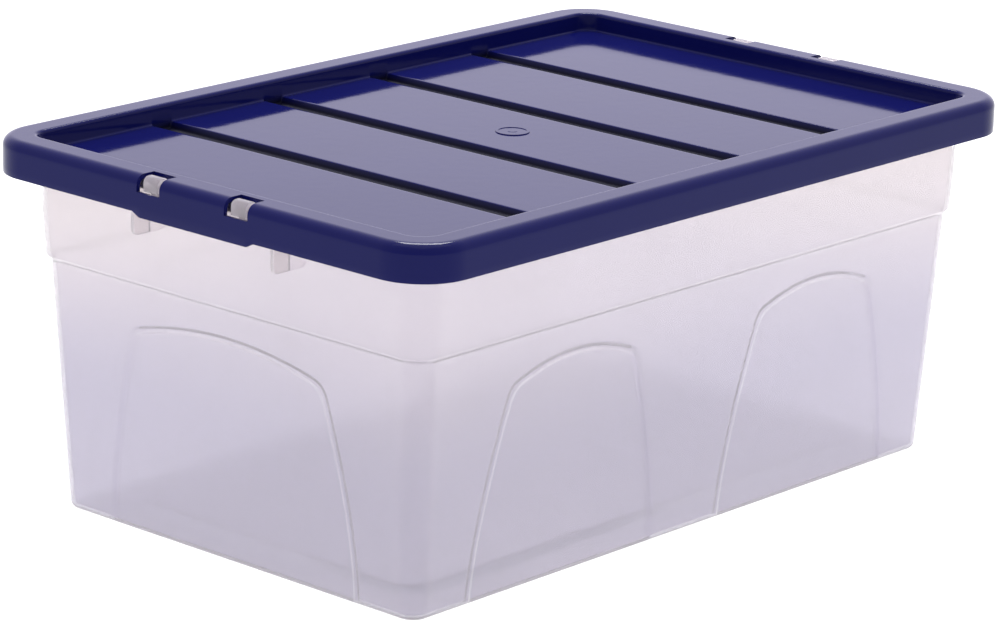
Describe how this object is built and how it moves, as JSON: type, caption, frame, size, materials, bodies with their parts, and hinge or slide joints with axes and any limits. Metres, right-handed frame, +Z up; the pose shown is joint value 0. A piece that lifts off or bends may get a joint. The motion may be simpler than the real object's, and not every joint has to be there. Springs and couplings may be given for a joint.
{
  "type": "lidded storage box for batteries",
  "caption": "Rectangular tapered tub of clear plastic with a navy lift-off lid: the lid's recessed top has cross grooves, and snap hooks at the short ends hold it down.",
  "frame": {"origin": "middle of the base, on the plane the box stands on", "axes": "+X along the long side, +Y across the box, +Z up; the hooks are at the two X ends"},
  "size_m": [0.4, 0.2654, 0.1707],
  "materials": {
    "clear_polypropylene": "milky translucent moulded plastic, satin",
    "navy_polypropylene": "glossy moulded plastic"
  },
  "bodies": {
    "tub": {"tub": "clear_polypropylene"},
    "lid": {"lid": "navy_polypropylene"},
    "hook_left_front": {"hook_left_front": "clear_polypropylene"},
    "hook_left_back": {"hook_left_back": "clear_polypropylene"},
    "hook_right_front": {"hook_right_front": "clear_polypropylene"},
    "hook_right_back": {"hook_right_back": "clear_polypropylene"}
  },
  "joints": [
    {"name": "lid_lift", "type": "slide", "parent": "tub", "child": "lid", "axis": [0, 0, 1], "range_m": [0, 0.06]},
    {"name": "flex_left_front", "type": "hinge", "parent": "tub", "child": "hook_left_front", "pos_m": [-0.1931, -0.0262, 0.1573], "axis": [0, 1, 0], "range_deg": [0, 10], "stiffness_Nm_per_rad": 0.45},
    {"name": "flex_left_back", "type": "hinge", "parent": "tub", "child": "hook_left_back", "pos_m": [-0.1931, 0.0262, 0.1573], "axis": [0, 1, 0], "range_deg": [0, 10], "stiffness_Nm_per_rad": 0.45},
    {"name": "flex_right_front", "type": "hinge", "parent": "tub", "child": "hook_right_front", "pos_m": [0.1931, -0.0262, 0.1573], "axis": [0, -1, 0], "range_deg": [0, 10], "stiffness_Nm_per_rad": 0.45},
    {"name": "flex_right_back", "type": "hinge", "parent": "tub", "child": "hook_right_back", "pos_m": [0.1931, 0.0262, 0.1573], "axis": [0, -1, 0], "range_deg": [0, 10], "stiffness_Nm_per_rad": 0.45}
  ]
}
